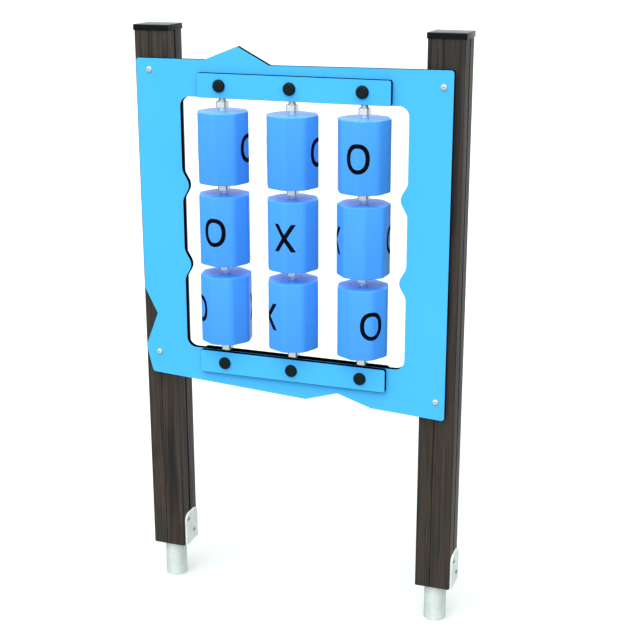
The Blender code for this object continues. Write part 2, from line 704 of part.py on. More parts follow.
def roller_ring(inset, height):
    outline = soft_octagon(ROLLER_APOTHEM - inset, max(ROLLER_CORNER - inset, 0.004))
    return [(point.x, point.y, height) for point in outline]


def bore_ring(height):
    radius = SHAFT_DIAMETER / 2 + RUNNING_CLEARANCE
    points = []
    for index in range(ROLLER_POINTS):
        angle = -math.pi / 2 + (index + 0.5) * 2.0 * math.pi / ROLLER_POINTS - math.pi / 8
        points.append((radius * math.cos(angle), radius * math.sin(angle), height))
    return points


def build_roller(row, column):
    """Hollow eight-sided roller with rounded corners, open only at its two bores."""
    half = ROLLER_HEIGHT / 2
    rim = ROLLER_RIM
    wall = ROLLER_WALL
    rings = [
        bore_ring(-half), roller_ring(rim, -half), roller_ring(rim * 0.3, -half + rim * 0.3),
        roller_ring(0.0, -half + rim), roller_ring(0.0, half - rim),
        roller_ring(rim * 0.3, half - rim * 0.3), roller_ring(rim, half), bore_ring(half),
        bore_ring(half - wall), roller_ring(wall, half - wall), roller_ring(wall, -half + wall),
        bore_ring(-half + wall),
    ]
    name = "roller_%s_%s" % (row, column)
    roller = loft(name, rings, ROLLER_BLUE, closed=True)
    turn = math.radians(REST_TURNS["%s_%s" % (row, column)])
    place(roller, (COLUMN_PLACES[column], PANEL_MIDDLE, ROW_HEIGHTS[row]), (0.0, 0.0, turn))


def build_all():
    for side in POST_SIDES:
        build_post(side)
        build_cap(side)
        build_foot_tube(side)
        build_foot_plate(side)
        build_plate_screws(side)
    build_panel()
    build_corner_bolts()
    build_bars()
    build_bar_fixings()
    for column in COLUMN_PLACES:
        build_shaft(column)
        build_nuts(column)
        for row in ROW_HEIGHTS:
            build_roller(row, column)


build_all()
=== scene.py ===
"""Looks of the playground tic tac toe panel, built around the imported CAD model."""

import math

import bmesh
import bpy
from mathutils import Euler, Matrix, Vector


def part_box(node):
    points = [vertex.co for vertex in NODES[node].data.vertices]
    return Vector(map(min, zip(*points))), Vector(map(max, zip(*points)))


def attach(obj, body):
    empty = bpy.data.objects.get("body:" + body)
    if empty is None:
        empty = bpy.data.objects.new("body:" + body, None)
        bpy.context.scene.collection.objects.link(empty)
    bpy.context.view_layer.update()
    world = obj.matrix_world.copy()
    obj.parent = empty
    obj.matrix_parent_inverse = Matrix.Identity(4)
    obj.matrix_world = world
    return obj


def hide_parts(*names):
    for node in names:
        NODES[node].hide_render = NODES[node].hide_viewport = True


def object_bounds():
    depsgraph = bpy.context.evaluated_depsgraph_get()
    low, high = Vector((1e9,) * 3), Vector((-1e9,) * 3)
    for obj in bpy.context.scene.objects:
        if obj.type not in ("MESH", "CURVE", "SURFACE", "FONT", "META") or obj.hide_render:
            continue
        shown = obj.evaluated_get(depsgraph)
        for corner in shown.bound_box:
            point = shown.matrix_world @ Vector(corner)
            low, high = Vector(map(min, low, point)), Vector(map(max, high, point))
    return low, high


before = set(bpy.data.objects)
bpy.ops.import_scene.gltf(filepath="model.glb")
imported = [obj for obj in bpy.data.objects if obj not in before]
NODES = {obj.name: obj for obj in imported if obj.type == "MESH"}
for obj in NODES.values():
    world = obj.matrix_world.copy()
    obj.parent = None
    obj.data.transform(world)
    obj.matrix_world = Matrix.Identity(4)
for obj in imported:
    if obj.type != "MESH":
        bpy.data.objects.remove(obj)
CAD_LOW, CAD_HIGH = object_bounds()
SCENE = bpy.context.scene
STAND = "frame"
ROWS = ("top", "middle", "bottom")
COLUMNS = ("left", "middle", "right")
SIDES = ("left", "right")
LEVELS = ("upper", "lower")

# Roller sizes, in metres, and where each roller's O mark points at rest, in degrees from -Y.
ROLLER_APOTHEM = 0.0650
ROLLER_CORNER = 0.024
ROLLER_RIM = 0.0026
ROLLER_WALL = 0.005
BORE_RADIUS = 0.0091
BORE_LIP = 0.0006
O_BEARINGS = {
    "top_left": 93.0, "top_middle": 92.0, "top_right": 3.0,
    "middle_left": -2.0, "middle_middle": 181.0, "middle_right": 108.0,
    "bottom_left": -56.0, "bottom_middle": 132.0, "bottom_right": 38.0,
}

# Marks: stroke width, how far they stand out of and reach into the roller, strip width when bent.
MARK_STROKE = 0.0108
MARK_PROUD = 0.0003
MARK_SUNK = 0.0006
MARK_STRIP = 0.0020
O_SIZE = (0.062, 0.075)
O_SQUARENESS = 2.25
X_SIZE = (0.061, 0.072)
X_LEAN_STROKES = 1.2

# Posts, caps and foot tubes.
POST_EDGE = 0.003
POST_END_EDGE = 0.0015
GROOVE_WIDTH = 0.009
GROOVE_DEPTH = 0.009
SEAM_PLACE = 0.43
SEAM_HALF = 0.0012
SEAM_DEPTH = 0.0022
CAP_WALL = 0.0022
CAP_ROOF = 0.0035
CAP_CORNER = 0.0035
CAP_TOP_EDGE = 0.0016
TUBE_WALL = 0.003
TUBE_OUTER_EDGE = 0.0009
TUBE_INNER_EDGE = 0.0005

# Collars on the shafts: height of the square part, and how far it starts above its hub's foot.
COLLAR_HEIGHT = 0.017
COLLAR_STARTS = {"top": 0.0082, "upper": 0.0067, "lower": 0.0067, "bottom": 0.0020}
COLLAR_CUT = 0.0035         # how much of each upright corner is cut off
COLLAR_EDGE = 0.0008
COLLAR_HUB_WALL = 0.0018
COLLAR_GAP = 0.0003

# Bolts and screws: head height, half of the socket's width over corners, its depth, and shank.
CORNER_BOLT = (0.0048, 0.0029, 0.0026, 0.004)
PLATE_SCREW = (0.0035, 0.0024, 0.0020, 0.003)
SOCKET_CONE = 0.0004
SOCKET_EDGE = 0.0002

# Domed head, as shares of its radius or height: foot, upright side, dome and socket.
HEAD_FOOT = 0.97
HEAD_SIDE_LOW = 0.08
HEAD_SIDE_HIGH = 0.22
DOME_WIDTH = 1.02
DOME_LOW = 0.16
DOME_RISE = 0.86
SOCKET_MOUTH = 1.12
SOCKET_POINT = 0.25

# Bolt covers: wall and lower edge, then shares of the height or radius.
COVER_WALL = 0.0025
COVER_EDGE = 0.0004
COVER_SIDE = 0.30           # upright side below the dome
COVER_FLAT = 0.62           # flat middle of the dome
COVER_INNER_SIDE = 0.35
COVER_INNER_FLAT = 0.55

# Camera: where it stands and how it looks.
CAMERA_PLACE = (1.1507, -3.0825, 1.8392)
CAMERA_TILT = 72.910
CAMERA_TURN = 19.401
CAMERA_LENS = 72.805
SENSOR_WIDTH = 36.0
FLOOR_SIZE = 160.0
FLOOR_GAP = 0.0002

# Brightness of the surround and of the sun, and the sun's width and direction in degrees.
# Below eye level the surround fades from GROUND_MIDDLE to GROUND_SIDES over SIDE_FADE of |X|.
SKY_EDGE = 0.92
SKY_TOP = 1.9
GROUND_MIDDLE = 0.92
GROUND_SIDES = 0.12
SIDE_FADE = (0.42, 0.60)
STUDIO_TINT = (0.965, 1.0, 0.985)
SUN_STRENGTH = 2.15
SUN_WIDTH = 70.0
SUN_TILT = 36.0
SUN_TURN = -9.0

# The black core of the two-colour sheet.
CORE_BLACK = (0.0015, 0.002, 0.003)
FULL_TURN = 2.0 * math.pi


# Node helpers

def new_material(name):
    material = bpy.data.materials.new(name)
    material.use_nodes = True
    tree = material.node_tree
    return material, tree, tree.nodes["Principled BSDF"]


def add_node(tree, kind, **values):
    node = tree.nodes.new(kind)
    for key, value in values.items():
        setattr(node, key, value)
    return node


def connect(tree, value, socket):
    """Links an output to a socket, or sets the socket to a number or a colour."""
    if isinstance(value, bpy.types.NodeSocket):
        tree.links.new(value, socket)
    elif isinstance(value, tuple) and len(value) == 3 and len(socket.default_value) == 4:
        socket.default_value = (*value, 1.0)
    else:
        socket.default_value = value


def placed(tree, scale, shift=(0.0, 0.0, 0.0)):
    """The piece's own coordinates, stretched and shifted."""
    coordinates = add_node(tree, "ShaderNodeTexCoord")
    mapping = add_node(tree, "ShaderNodeMapping")
    mapping.inputs["Scale"].default_value = scale
    mapping.inputs["Location"].default_value = shift
    tree.links.new(coordinates.outputs["Object"], mapping.inputs["Vector"])
    return mapping.outputs["Vector"]


def noise(tree, scale, detail=3.0, roughness=0.5, warp=0.0, shift=(0.0, 0.0, 0.0)):
    node = add_node(tree, "ShaderNodeTexNoise")
    node.inputs["Scale"].default_value = 1.0
    node.inputs["Detail"].default_value = detail
    node.inputs["Roughness"].default_value = roughness
    node.inputs["Distortion"].default_value = warp
    tree.links.new(placed(tree, scale, shift), node.inputs["Vector"])
    return node.outputs["Fac"]


def ramp(tree, source, stops):
    """Colour ramp from (position, colour) stops; a single number stands for a grey."""
    node = add_node(tree, "ShaderNodeValToRGB")
    elements = node.color_ramp.elements
    while len(elements) < len(stops):
        elements.new(0.5)
    for element, (position, colour) in zip(elements, stops):
        element.position = position
        element.color = (colour, colour, colour, 1.0) if isinstance(colour, float) else (*colour, 1.0)
    tree.links.new(source, node.inputs["Fac"])
    return node.outputs["Color"]


def mix_colour(tree, factor, first, second, blend="MIX"):
    node = add_node(tree, "ShaderNodeMix", data_type="RGBA", blend_type=blend)
    connect(tree, factor, node.inputs["Factor"])
    connect(tree, first, node.inputs[6])
    connect(tree, second, node.inputs[7])
    return node.outputs[2]


def spread(tree, source, low, high, new_low, new_high):
    node = add_node(tree, "ShaderNodeMapRange")
    node.inputs["From Min"].default_value = low
    node.inputs["From Max"].default_value = high
    node.inputs["To Min"].default_value = new_low
    node.inputs["To Max"].default_value = new_high
    tree.links.new(source, node.inputs["Value"])
    return node.outputs["Result"]


def add_bump(tree, height, strength, distance, under=None):
    node = add_node(tree, "ShaderNodeBump")
    node.inputs["Strength"].default_value = strength
    node.inputs["Distance"].default_value = distance
    tree.links.new(height, node.inputs["Height"])
    if under is not None:
        tree.links.new(under, node.inputs["Normal"])
    return node.outputs["Normal"]


def scaled(colour, factor):
    return tuple(part * factor for part in colour)


# Materials

def timber_material(name, shift, shade):
    """Dark stained softwood: broad tinted bands, darker streaks and fine fibres up the post."""
    material, tree, shader = new_material(name)
    bands = noise(tree, (28.0, 28.0, 1.1), 3.0, 0.55, 0.5, shift)
    base = ramp(tree, bands, (
        (0.34, scaled((0.009, 0.007, 0.006), shade)), (0.43, scaled((0.054, 0.037, 0.027), shade)),
        (0.50, scaled((0.026, 0.025, 0.018), shade)), (0.57, scaled((0.060, 0.040, 0.032), shade)),
        (0.66, scaled((0.015, 0.012, 0.011), shade)),
    ))
    streaks = noise(tree, (110.0, 110.0, 2.2), 4.0, 0.6, 0.3, shift)
    colour = mix_colour(
        tree, 1.0, base, ramp(tree, streaks, ((0.36, 0.40), (0.46, 0.95), (0.62, 1.0))), "MULTIPLY"
    )
    fibres = noise(tree, (480.0, 480.0, 10.0), 3.0, 0.6, 0.0, shift)
    colour = mix_colour(
        tree, 1.0, colour, ramp(tree, fibres, ((0.30, 0.74), (0.56, 1.0))), "MULTIPLY"
    )
    tree.links.new(colour, shader.inputs["Base Color"])
    tree.links.new(spread(tree, streaks, 0.3, 0.7, 0.58, 0.40), shader.inputs["Roughness"])
    shader.inputs["Specular IOR Level"].default_value = 0.35
    under = add_bump(tree, streaks, 0.5, 0.0010)
    tree.links.new(add_bump(tree, fibres, 0.4, 0.0004, under), shader.inputs["Normal"])
    return material


def black_material(name, colour, rough, refraction):
    """Black moulded plastic with a fine grain."""
    material, tree, shader = new_material(name)
    cloud = noise(tree, (14.0, 14.0, 14.0))
    tree.links.new(
        ramp(tree, cloud, ((0.35, scaled(colour, 0.85)), (0.65, scaled(colour, 1.25)))),
        shader.inputs["Base Color"],
    )
    tree.links.new(spread(tree, cloud, 0.3, 0.7, rough - 0.05, rough + 0.05), shader.inputs["Roughness"])
    shader.inputs["IOR"].default_value = refraction
    shader.inputs["Specular IOR Level"].default_value = 0.30
    grain = noise(tree, (900.0, 900.0, 900.0), 2.0)
    tree.links.new(add_bump(tree, grain, 0.12, 0.0002), shader.inputs["Normal"])
    return material


def steel_material(name, colour, rough, metallic):
    """Pale satin steel with the faint spangle of zinc."""
    material, tree, shader = new_material(name)
    spangle = add_node(tree, "ShaderNodeTexVoronoi")
    spangle.inputs["Scale"].default_value = 1.0
    tree.links.new(placed(tree, (170.0, 170.0, 170.0)), spangle.inputs["Vector"])
    cloud = noise(tree, (28.0, 28.0, 28.0))
    shade = spread(tree, spangle.outputs["Color"], 0.0, 1.0, 0.0, 1.0)
    tint = ramp(tree, shade, ((0.2, scaled(colour, 0.93)), (0.8, colour)))
    veil = ramp(tree, cloud, ((0.3, 0.86), (0.7, 1.0)))
    tree.links.new(mix_colour(tree, 1.0, tint, veil, "MULTIPLY"), shader.inputs["Base Color"])
    shader.inputs["Metallic"].default_value = metallic
    tree.links.new(spread(tree, cloud, 0.3, 0.7, rough - 0.06, rough + 0.06), shader.inputs["Roughness"])
    tree.links.new(add_bump(tree, cloud, 0.03, 0.0003), shader.inputs["Normal"])
    return material


def sheet_material():
    """Two-colour sheet: blue skins, and a black core wherever an edge is cut."""
    material, tree, shader = new_material("two_colour_sheet")
    geometry = add_node(tree, "ShaderNodeNewGeometry")
    parts = add_node(tree, "ShaderNodeSeparateXYZ")
    tree.links.new(geometry.outputs["True Normal"], parts.inputs["Vector"])
    facing = add_node(tree, "ShaderNodeMath", operation="ABSOLUTE")
    tree.links.new(parts.outputs["Y"], facing.inputs[0])
    skin = spread(tree, facing.outputs[0], 0.80, 0.90, 0.0, 1.0)
    cloud = noise(tree, (3.0, 3.0, 3.0), 2.0)
    blue = ramp(tree, cloud, ((0.3, (0.062, 0.424, 0.87)), (0.7, (0.070, 0.448, 0.91))))
    tree.links.new(mix_colour(tree, skin, CORE_BLACK, blue), shader.inputs["Base Color"])
    gloss = spread(tree, cloud, 0.3, 0.7, 0.42, 0.50)
    tree.links.new(mix_colour(tree, skin, (0.95, 0.95, 0.95), gloss), shader.inputs["Roughness"])
    shader.inputs["Specular IOR Level"].default_value = 0.0
    peel = noise(tree, (380.0, 380.0, 380.0), 2.0)
    tree.links.new(add_bump(tree, peel, 0.14, 0.0003), shader.inputs["Normal"])
    return material


def roller_material():
    """Soft-gloss moulded plastic with faint flow marks."""
    material, tree, shader = new_material("roller_plastic")
    flow = noise(tree, (9.0, 9.0, 3.0))
    blue = ramp(tree, flow, ((0.3, (0.060, 0.302, 0.86)), (0.7, (0.068, 0.324, 0.90))))
    tree.links.new(blue, shader.inputs["Base Color"])
    tree.links.new(spread(tree, flow, 0.3, 0.7, 0.12, 0.18), shader.inputs["Roughness"])
    shader.inputs["IOR"].default_value = 1.11
    shader.inputs["Specular IOR Level"].default_value = 0.50
    peel = noise(tree, (260.0, 260.0, 260.0), 2.0)
    tree.links.new(add_bump(tree, peel, 0.05, 0.0003), shader.inputs["Normal"])
    return material


def floor_material():
    """Pale matt studio floor with a faint cloud."""
    material, tree, shader = new_material("studio_floor")
    cloud = noise(tree, (0.4, 0.4, 0.4), 2.0)
    tree.links.new(
        ramp(tree, cloud, ((0.3, (0.57, 0.588, 0.583)), (0.7, (0.58, 0.598, 0.593)))),
        shader.inputs["Base Color"],
    )
    shader.inputs["Roughness"].default_value = 0.9
    shader.inputs["Specular IOR Level"].default_value = 0.1
    return material


TIMBER = {
    "left": timber_material("timber_left", (0.31, 0.12, 0.0), 0.92),
    "right": timber_material("timber_right", (2.47, 1.93, 0.4), 0.72),
}
CAP_BLACK = black_material("cap_plastic", (0.0008, 0.003, 0.0035), 0.22, 1.30)
COVER_BLACK = black_material("cover_plastic", (0.004, 0.010, 0.010), 0.45, 1.25)
MARK_BLACK = black_material("mark_black", (0.002, 0.003, 0.004), 0.50, 1.08)
TUBE_STEEL = steel_material("tube_steel", (0.74, 0.82, 0.79), 0.50, 0.15)
PLATE_STEEL = steel_material("plate_steel", (0.83, 0.91, 0.86), 0.45, 0.20)
BOLT_STEEL = steel_material("bolt_steel", (0.84, 0.92, 0.90), 0.22, 0.75)
NUT_STEEL = steel_material("nut_steel", (0.88, 0.93, 0.89), 0.20, 0.80)
CORNER_STEEL = steel_material("corner_bolt_steel", (0.62, 0.61, 0.55), 0.42, 0.20)
# Screw steel is much darker than the plate's: painted shade standing for the shadow in the gap round each
# screw head.
SCREW_STEEL_PAINTED_SHADE = steel_material("screw_steel_painted_shade", (0.42, 0.46, 0.44), 0.35, 0.7)
SHEET = sheet_material()
ROLLER = roller_material()


def dress(node, material):
    """Gives a carried-over CAD node its finished material."""
    data = NODES[node].data
    data.materials.clear()
    data.materials.append(material)


# Mesh helpers

def finish_piece(name, shape, material, location, turn=(0.0, 0.0, 0.0), sharp=30.0):
    """Turns a bmesh into a piece that stands at a place in the frame, its turn kept in the mesh."""
    bmesh.ops.transform(shape, matrix=Euler(turn).to_matrix().to_4x4(), verts=shape.verts[:])
    bmesh.ops.recalc_face_normals(shape, faces=shape.faces[:])
    mesh = bpy.data.meshes.new(name)
    shape.to_mesh(mesh)
    shape.free()
    mesh.materials.append(material)
    for face in mesh.polygons:
        face.use_smooth = True
    mesh.set_sharp_from_angle(angle=math.radians(sharp))
    piece = bpy.data.objects.new(name, mesh)
    SCENE.collection.objects.link(piece)
    piece.location = location
    return piece


def stand_for(piece, node, body):
    """Puts a finished piece on a body in place of a CAD node."""
    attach(piece, body)
    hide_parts(node)


def middle_of(node):
    low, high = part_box(node)
    return (low + high) / 2.0


def loft(rings, closed=False, ends=False):
    """Skins a list of rings that all have the same number of points."""
    shape = bmesh.new()
    loops = [[shape.verts.new(point) for point in ring] for ring in rings]
    count = len(rings[0])
    spans = list(zip(loops, loops[1:]))
    if closed:
        spans.append((loops[-1], loops[0]))
    for lower, upper in spans:
        for index in range(count):
            following = (index + 1) % count
            shape.faces.new((lower[index], lower[following], upper[following], upper[index]))
    if ends:
        shape.faces.new(loops[0])
        shape.faces.new(loops[-1])
    return shape


def turned(profile, steps):
    """Revolves a closed loop of (radius, height) points about Z."""
    shape = bmesh.new()
    verts = [shape.verts.new((radius, 0.0, height)) for radius, height in profile]
    pairs = list(zip(verts, verts[1:])) + [(verts[-1], verts[0])]
    edges = [shape.edges.new(pair) for pair in pairs]
    bmesh.ops.spin(
        shape, geom=verts + edges, axis=(0.0, 0.0, 1.0), cent=(0.0, 0.0, 0.0),
        angle=FULL_TURN, steps=steps, use_merge=True,
    )
    bmesh.ops.remove_doubles(shape, verts=shape.verts[:], dist=0.000001)
    bmesh.ops.dissolve_degenerate(shape, edges=shape.edges[:], dist=0.000001)
    return shape


def fillet(centre, radius, start, end, steps=4):
    """Points of an arc in the (radius, height) plane, angles in degrees."""
    points = []
    for step in range(steps + 1):
        angle = math.radians(start + (end - start) * step / steps)
        points.append((centre[0] + radius * math.cos(angle), centre[1] + radius * math.sin(angle)))
    return points


# Rollers and their marks

CORNER_ARC = ROLLER_CORNER * math.pi / 4.0
FLAT_LENGTH = 2.0 * (ROLLER_APOTHEM - ROLLER_CORNER) * math.tan(math.pi / 8.0)
SIDE_PERIOD = CORNER_ARC + FLAT_LENGTH
CORNER_CENTRE = (ROLLER_APOTHEM - ROLLER_CORNER) / math.cos(math.pi / 8.0)


def roller_surface(along, out=0.0):
    """Point on the roller's outline at a distance along it from the -Y corner."""
    side = round(along / SIDE_PERIOD)
    local = along - side * SIDE_PERIOD
    middle = -math.pi / 2.0 + side * math.pi / 4.0
    on_arc = max(-CORNER_ARC / 2.0, min(CORNER_ARC / 2.0, local))
    angle = middle + on_arc / ROLLER_CORNER
    radius = ROLLER_CORNER + out
    past = local - on_arc
    return Vector((
        CORNER_CENTRE * math.cos(middle) + radius * math.cos(angle) - past * math.sin(angle),
        CORNER_CENTRE * math.sin(middle) + radius * math.sin(angle) + past * math.cos(angle),
    ))


def roller_ring(inset, height, corner_steps=8, flat_steps=3):
    """The roller's outline at a height, moved inwards."""
    points = []
    for side in range(8):
        start = side * SIDE_PERIOD - CORNER_ARC / 2.0
        places = [start + CORNER_ARC * step / corner_steps for step in range(corner_steps)]
        flat = start + CORNER_ARC
        places += [flat + FLAT_LENGTH * step / flat_steps for step in range(flat_steps)]
        for along in places:
            point = roller_surface(along, -inset)
            points.append((point.x, point.y, height))
    return points


def bore_ring(outline, height, radius=BORE_RADIUS):
    """Circle of points in the same directions as an outline's points."""
    points = []
    for x, y, _ in outline:
        share = radius / math.hypot(x, y)
        points.append((x * share, y * share, height))
    return points


def roller_rings(half):
    """Rings of the whole hollow roller, from the lower bore round the outside and back inside."""
    rim = ROLLER_RIM
    lower = [(rim - x, z) for x, z in fillet((0.0, -half + rim), rim, 270.0, 360.0)]
    upper = [(rim - x, z) for x, z in fillet((0.0, half - rim), rim, 0.0, 90.0)]
    outer = [roller_ring(inset, height) for inset, height in lower + upper]
    outline = roller_ring(0.0, 0.0)
    deep = half - ROLLER_WALL
    mouth = BORE_RADIUS + BORE_LIP
    return (
        [bore_ring(outline, -half + BORE_LIP), bore_ring(outline, -half, mouth)]
        + outer
        + [bore_ring(outline, half, mouth), bore_ring(outline, half - BORE_LIP)]
        + [bore_ring(outline, deep), roller_ring(ROLLER_WALL, deep)]
        + [roller_ring(ROLLER_WALL, -deep), bore_ring(outline, -deep)]
    )


def wrapped(shape, centre):
    """Cuts a flat (along, height) shape into strips and bends it onto the roller as a thin solid."""
    reach = max(abs(vert.co.x) for vert in shape.verts)
    count = int(reach / MARK_STRIP)
    for step in range(-count, count + 1):
        geometry = shape.verts[:] + shape.edges[:] + shape.faces[:]
        bmesh.ops.bisect_plane(
            shape, geom=geometry, plane_co=(step * MARK_STRIP, 0.0, 0.0), plane_no=(1.0, 0.0, 0.0),
            dist=0.00001,
        )
    extruded = bmesh.ops.extrude_face_region(shape, geom=shape.faces[:])
    raised = {item for item in extruded["geom"] if isinstance(item, bmesh.types.BMVert)}
    for vert in shape.verts:
        out = MARK_PROUD if vert in raised else -MARK_SUNK
        point = roller_surface(centre + vert.co.x, out)
        vert.co = Vector((point.x, point.y, vert.co.y))
    return shape


def tall_oval(width, height, steps=96):
    """Rounded tall oval, a little squarer than an ellipse."""
    power = 2.0 / O_SQUARENESS
    points = []
    for step in range(steps):
        angle = FULL_TURN * step / steps
        across = math.cos(angle)
        up = math.sin(angle)
        points.append((
            width / 2.0 * math.copysign(abs(across) ** power, across),
            height / 2.0 * math.copysign(abs(up) ** power, up),
        ))
    return points


def o_shape():
    """Flat letter O, as a ring between two ovals."""
    shape = bmesh.new()
    outer = tall_oval(*O_SIZE)
    inner = tall_oval(O_SIZE[0] - 2.0 * MARK_STROKE, O_SIZE[1] - 2.0 * MARK_STROKE)
    rings = [[shape.verts.new((x, z, 0.0)) for x, z in ring] for ring in (outer, inner)]
    count = len(outer)
    for index in range(count):
        following = (index + 1) % count
        shape.faces.new((rings[0][index], rings[0][following], rings[1][following], rings[1][index]))
    return shape


def x_shape():
    """Flat letter X with level stroke ends, as one outline."""
    half_width = X_SIZE[0] / 2.0
    half_height = X_SIZE[1] / 2.0
    lean = (X_SIZE[0] - MARK_STROKE * X_LEAN_STROKES) / X_SIZE[1]
    end = MARK_STROKE * math.hypot(1.0, lean)
    notch_side = end / 2.0
    notch_up = end / 2.0 / lean
    outline = [(half_width, half_height), (half_width - end, half_height), (0.0, notch_up)]
    outline += [(-half_width + end, half_height), (-half_width, half_height), (-notch_side, 0.0)]
    outline += [(-half_width, -half_height), (-half_width + end, -half_height), (0.0, -notch_up)]
    outline += [(half_width - end, -half_height), (half_width, -half_height), (notch_side, 0.0)]
    shape = bmesh.new()
    shape.faces.new([shape.verts.new((x, z, 0.0)) for x, z in outline])
    return shape


def build_roller(row, column):
    spot = "%s_%s" % (row, column)
    node = "roller_" + spot
    low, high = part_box(node)
    place = Vector((*middle_of("shaft_" + column).xy, (low.z + high.z) / 2.0))
    turn = (0.0, 0.0, math.radians(O_BEARINGS[spot]))
    shape = loft(roller_rings((high.z - low.z) / 2.0), closed=True)
    shell = finish_piece("roller_shell_" + spot, shape, ROLLER, place, turn, 40.0)
    stand_for(shell, node, node)
    marks = (("o", o_shape(), 0.0), ("x", x_shape(), SIDE_PERIOD * 4.0))
    for letter, flat, centre in marks:
        mark = finish_piece(
            "mark_%s_%s" % (letter, spot), wrapped(flat, centre), MARK_BLACK, place, turn, 40.0
        )
        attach(mark, node)


# Posts, caps and feet

def post_section(width, depth):
    """Cross-section of a post: rounded corners, side grooves and the front and back seams."""
    half_x = width / 2.0
    half_y = depth / 2.0
    seam = -half_x + width * SEAM_PLACE
    groove = GROOVE_WIDTH / 2.0

    def corner(sign_x, sign_y, start):
        centre = (sign_x * (half_x - POST_EDGE), sign_y * (half_y - POST_EDGE))
        return fillet(centre, POST_EDGE, start, start + 90.0, 5)

    points = corner(-1.0, -1.0, 180.0)
    points += [(seam - SEAM_HALF, -half_y), (seam, -half_y + SEAM_DEPTH), (seam + SEAM_HALF, -half_y)]
    points += corner(1.0, -1.0, 270.0)
    points += [(half_x, -groove), (half_x - GROOVE_DEPTH, -groove)]
    points += [(half_x - GROOVE_DEPTH, groove), (half_x, groove)]
    points += corner(1.0, 1.0, 0.0)
    points += [(seam + SEAM_HALF, half_y), (seam, half_y - SEAM_DEPTH), (seam - SEAM_HALF, half_y)]
    points += corner(-1.0, 1.0, 90.0)
    points += [(-half_x, groove), (-half_x + GROOVE_DEPTH, groove)]
    points += [(-half_x + GROOVE_DEPTH, -groove), (-half_x, -groove)]
    return points


def build_post(side):
    low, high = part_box("post_" + side)
    size = high - low
    section = post_section(size.x, size.y)
    half = size.z / 2.0
    straight = half - POST_END_EDGE
    rings = []
    for height, inset in ((-half, POST_END_EDGE), (-straight, 0.0), (straight, 0.0), (half, POST_END_EDGE)):
        shrink = Vector((1.0 - 2.0 * inset / size.x, 1.0 - 2.0 * inset / size.y))
        rings.append([(x * shrink.x, y * shrink.y, height) for x, y in section])
    shape = loft(rings, ends=True)
    post = finish_piece("timber_post_" + side, shape, TIMBER[side], (low + high) / 2.0)
    stand_for(post, "post_" + side, STAND)


def round_edges(shape, edges, radius, segments):
    bmesh.ops.bevel(
        shape, geom=edges, offset=radius, offset_type="OFFSET", segments=segments, profile=0.5,
        affect="EDGES",
    )


def build_cap(side):
    """Black end cap with rounded corners, a soft upper edge and a skirt open from below."""
    low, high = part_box("cap_" + side)
    size = high - low
    shape = bmesh.new()
    bmesh.ops.create_cube(shape, size=1.0)
    bmesh.ops.scale(shape, vec=size, verts=shape.verts[:])
    bottom = [face for face in shape.faces if face.normal.z < -0.9]
    bmesh.ops.inset_region(shape, faces=bottom, thickness=CAP_WALL)
    for vert in bottom[0].verts:
        vert.co.z += size.z - CAP_ROOF
    upright = [e for e in shape.edges if abs(e.verts[0].co.z - e.verts[1].co.z) > size.z * 0.9]
    outer = [e for e in upright if abs(e.verts[0].co.x) > size.x / 2.0 - CAP_WALL / 2.0]
    round_edges(shape, outer, CAP_CORNER, 5)
    roof = size.z / 2.0 - CAP_TOP_EDGE / 2.0
    top = [e for e in shape.edges if all(v.co.z > roof for v in e.verts)]
    round_edges(shape, top, CAP_TOP_EDGE, 4)
    cap = finish_piece("end_cap_" + side, shape, CAP_BLACK, (low + high) / 2.0)
    stand_for(cap, "cap_" + side, STAND)


def build_foot_tube(side):
    low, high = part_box("foot_tube_" + side)
    outer = (high.x - low.x) / 2.0
    inner = outer - TUBE_WALL
    length = high.z - low.z
    profile = fillet((outer - TUBE_OUTER_EDGE, TUBE_OUTER_EDGE), TUBE_OUTER_EDGE, 270.0, 360.0)
    profile += [(outer, length), (inner, length)]
    profile += fillet((inner + TUBE_INNER_EDGE, TUBE_INNER_EDGE), TUBE_INNER_EDGE, 180.0, 270.0)
    centre = (low + high) / 2.0
    place = (centre.x, centre.y, low.z)
    tube = finish_piece("steel_foot_" + side, turned(profile, 96), TUBE_STEEL, place)
    stand_for(tube, "foot_tube_" + side, STAND)


# Collars, screws, bolts and covers

def square_ring(outline, half, cut, level):
    """Square with cut corners, in the same directions as a round outline."""
    points = []
    for x, y in outline:
        reach = min(half / max(abs(x), abs(y)), (2.0 * half - cut) / (abs(x) + abs(y)))
        points.append((reach * x, reach * y, level))
    return points


def round_ring(outline, radius, level):
    return [(radius * x, radius * y, level) for x, y in outline]


def hexagon_ring(outline, corner, level):
    """Hexagon with its corners at a distance, in the same directions as a round outline."""
    points = []
    for x, y in outline:
        angle = math.atan2(y, x) % (math.pi / 3.0) - math.pi / 6.0
        reach = corner * math.cos(math.pi / 6.0) / math.cos(angle)
        points.append((reach * x, reach * y, level))
    return points


def round_outline(steps=48):
    """Directions round a circle."""
    points = []
    for step in range(steps):
        angle = FULL_TURN * step / steps
        points.append((math.cos(angle), math.sin(angle)))
    return points


def collar_outline(half, cut, flat_steps=10, corner_steps=4):
    """Directions round a collar, with one at each end of its cut corners."""
    corner = math.atan2(half - cut, half)
    spans = ((-corner, corner, flat_steps), (corner, math.pi / 2.0 - corner, corner_steps))
    points = []
    for quarter in range(4):
        for start, end, steps in spans:
            for step in range(steps):
                angle = quarter * math.pi / 2.0 + start + (end - start) * step / steps
                points.append((math.cos(angle), math.sin(angle)))
    return points


